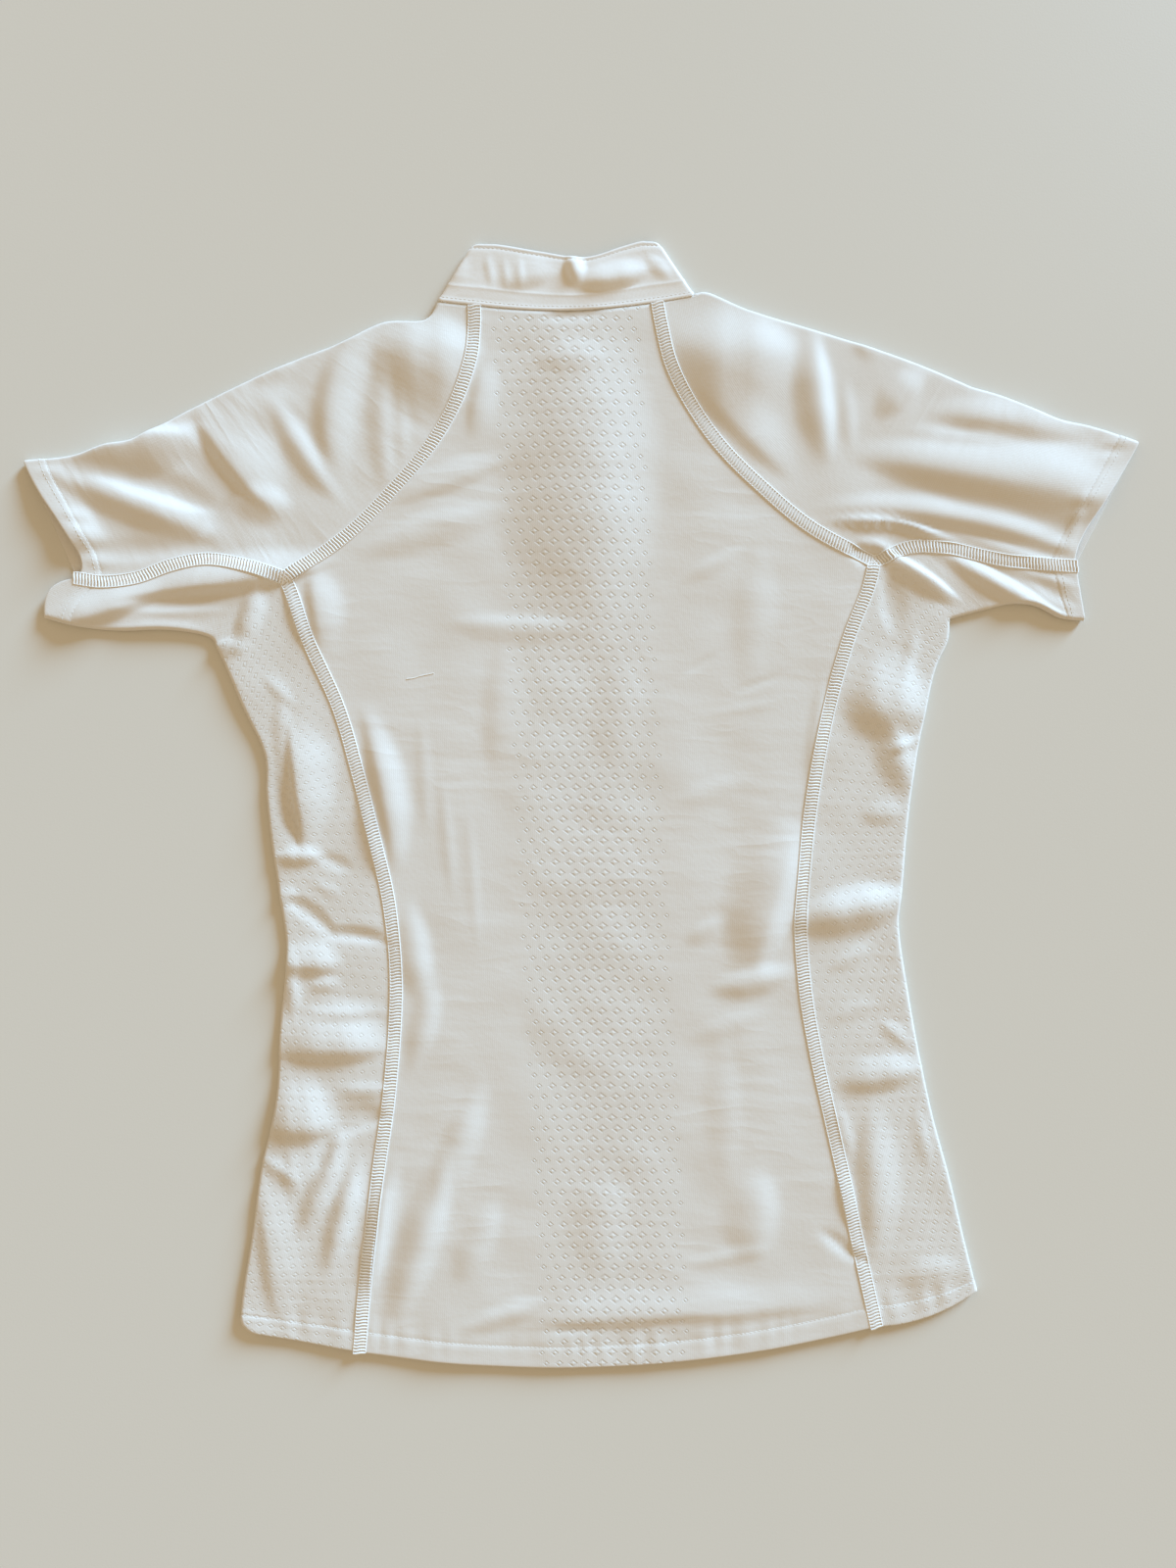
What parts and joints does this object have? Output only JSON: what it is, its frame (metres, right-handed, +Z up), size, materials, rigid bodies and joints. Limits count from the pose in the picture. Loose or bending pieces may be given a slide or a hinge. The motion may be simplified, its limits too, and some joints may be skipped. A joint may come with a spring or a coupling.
{
  "type": "equestrian show shirt laid flat",
  "caption": "Short-sleeved raglan show shirt with a stand collar and side panels, laid flat with its back up.",
  "frame": {"origin": "middle of the shirt's bounding box, on the surface that it lies on", "axes": "+X towards the wearer's right sleeve, +Y towards the collar, +Z up from the surface to the back"},
  "size_m": [0.6594, 0.6662, 0.0101],
  "materials": {
    "plain_knit": "smooth technical knit, off-white, slight sheen",
    "patterned_knit": "technical knit with small raised lozenges, off-white",
    "collar_cloth": "doubled smooth knit, off-white"
  },
  "bodies": {
    "root": {"back": "plain_knit", "front": "plain_knit", "sleeve_left": "plain_knit", "sleeve_right": "plain_knit", "side_panel_left": "patterned_knit", "side_panel_right": "patterned_knit", "collar": "collar_cloth", "placket_left": "collar_cloth", "placket_right": "collar_cloth"}
  },
  "joints": []
}
